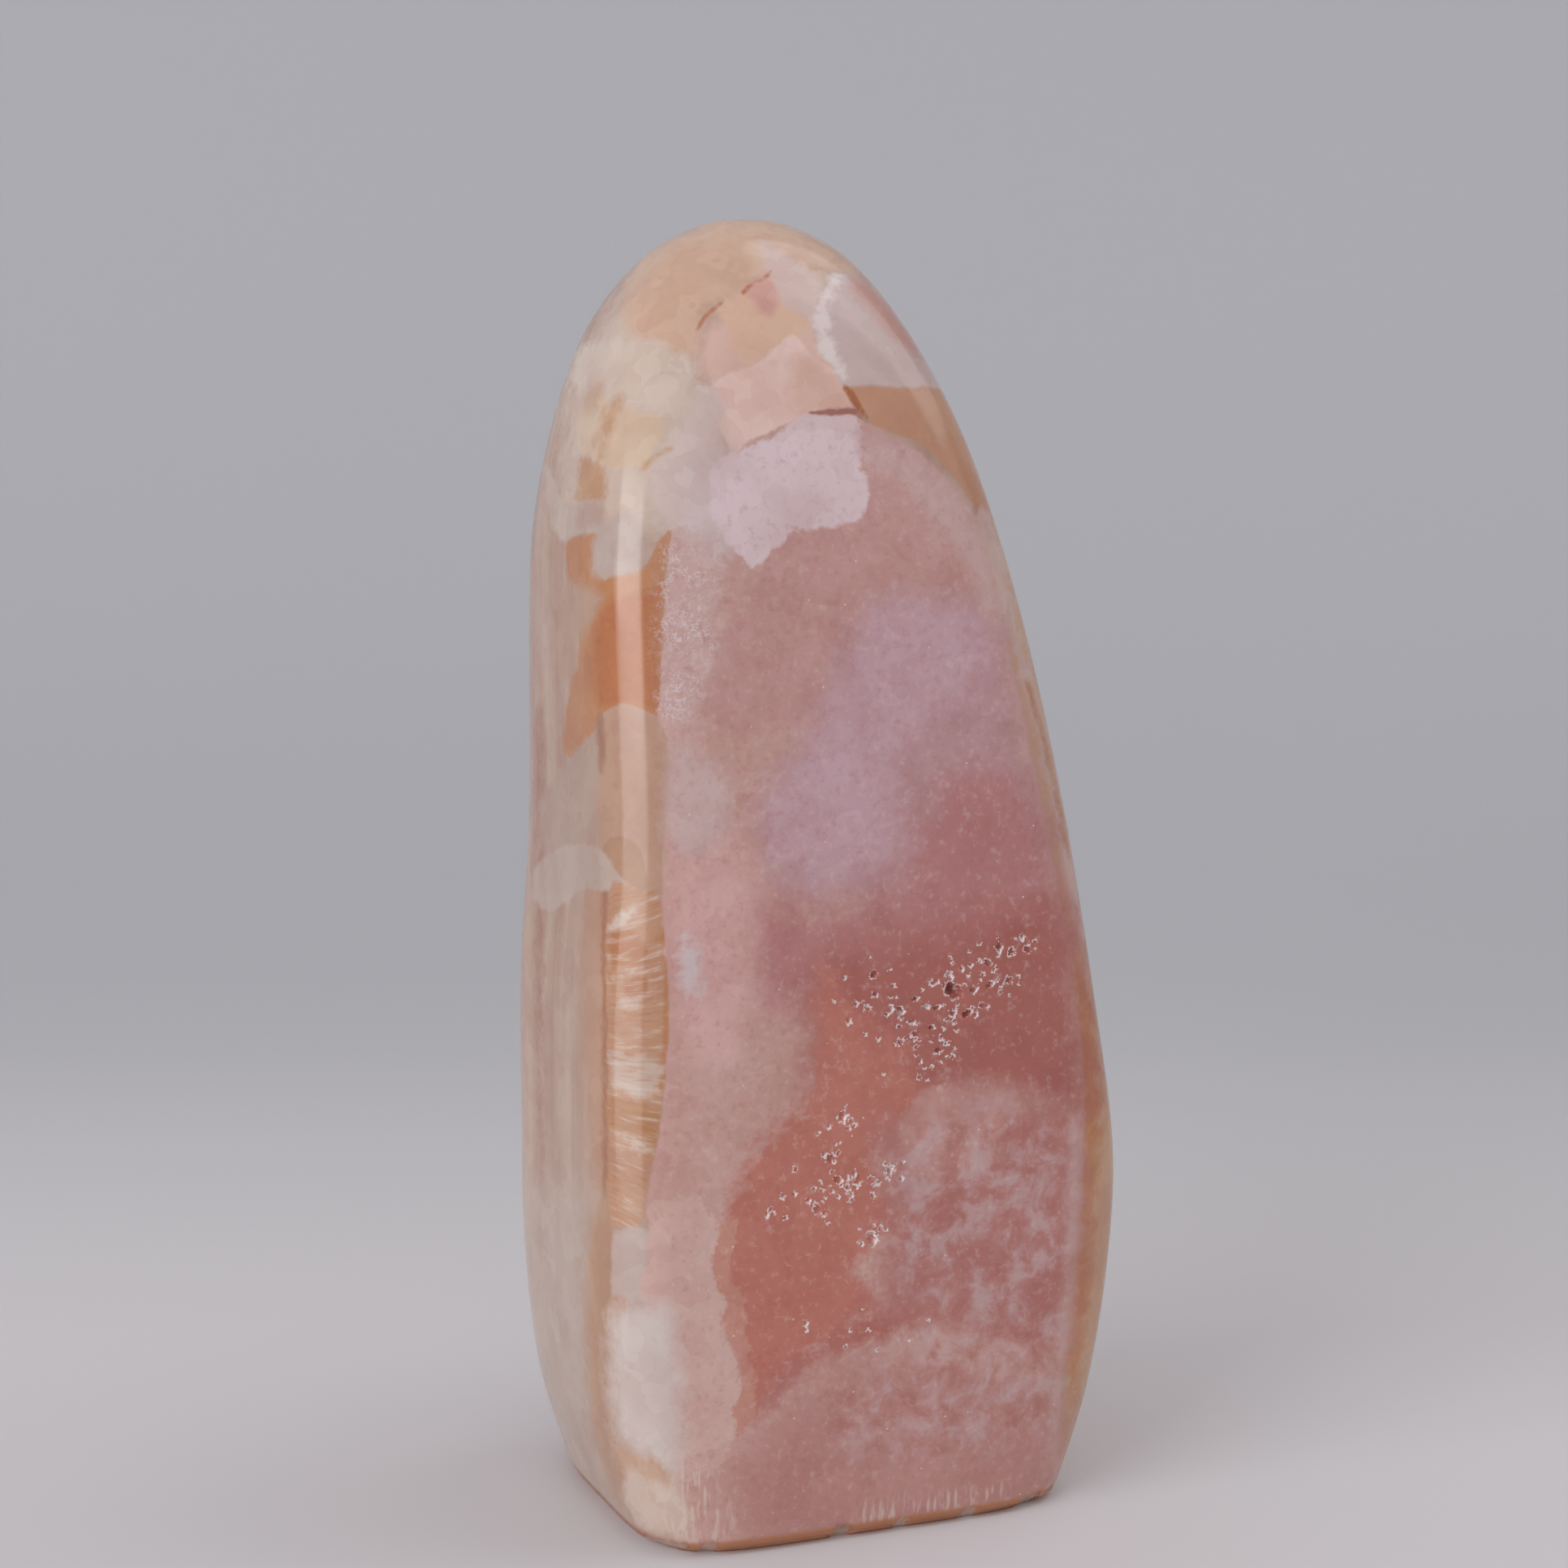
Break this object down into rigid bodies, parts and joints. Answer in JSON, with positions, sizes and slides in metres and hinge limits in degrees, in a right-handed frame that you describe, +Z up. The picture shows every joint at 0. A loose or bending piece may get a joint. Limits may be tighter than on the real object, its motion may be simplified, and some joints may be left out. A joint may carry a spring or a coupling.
{
  "type": "aragonite freeform",
  "caption": "Polished freestanding mineral freeform: a leaning rounded pillow of pink and honey banded carbonate on a flat sawn base.",
  "frame": {"origin": "bottom centre of the stone's bounding box, on the surface it stands on", "axes": "+Z up, the broad pink granular face towards -Y, the left edge towards -X"},
  "size_m": [0.0589, 0.0436, 0.135],
  "materials": {
    "polished_aragonite": "hand-polished stone, gently translucent"
  },
  "bodies": {
    "root": {"aragonite_freeform": "polished_aragonite"}
  },
  "joints": []
}
